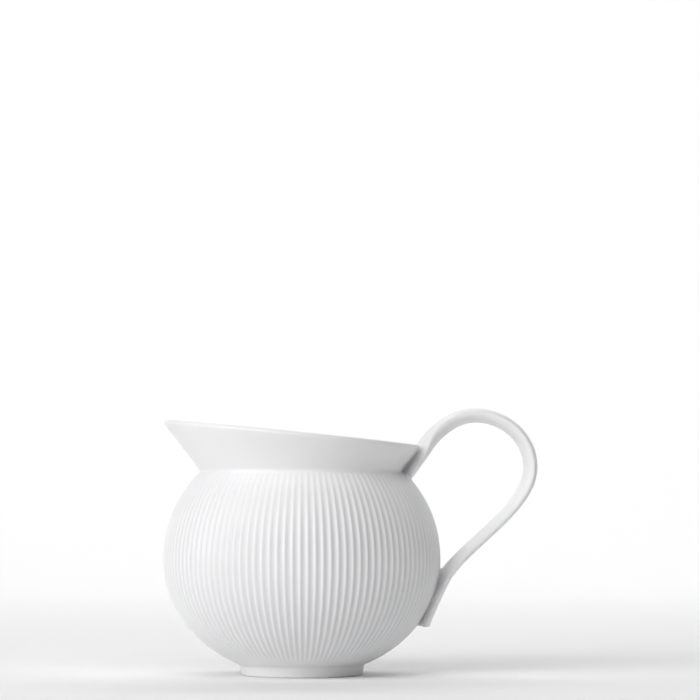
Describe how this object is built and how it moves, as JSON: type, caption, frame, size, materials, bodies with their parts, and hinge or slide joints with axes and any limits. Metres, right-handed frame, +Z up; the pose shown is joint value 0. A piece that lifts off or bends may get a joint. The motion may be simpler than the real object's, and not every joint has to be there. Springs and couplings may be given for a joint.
{
  "type": "porcelain cream jug",
  "caption": "Small white porcelain cream jug with a finely fluted round body, a smooth flared collar cut on a slant for pouring, a low foot ring and one loop handle.",
  "frame": {"origin": "on the table under the middle of the jug's box; the body's own axis stands at x = -0.016 m", "axes": "+X towards the handle, -X towards the pouring lip, +Z up, +Y completes the right-handed frame"},
  "size_m": [0.124, 0.0918, 0.0881],
  "materials": {
    "glazed_porcelain": "white porcelain under a clear satin glaze",
    "foot_porcelain": "glazed ring with a bare, ground resting edge",
    "fired_slip": "fired luting slip under the same glaze"
  },
  "bodies": {
    "root": {"fluted_body": "glazed_porcelain", "collar": "glazed_porcelain", "handle": "glazed_porcelain", "foot_ring": "foot_porcelain", "upper_handle_slip": "fired_slip", "lower_handle_slip": "fired_slip"}
  },
  "joints": []
}
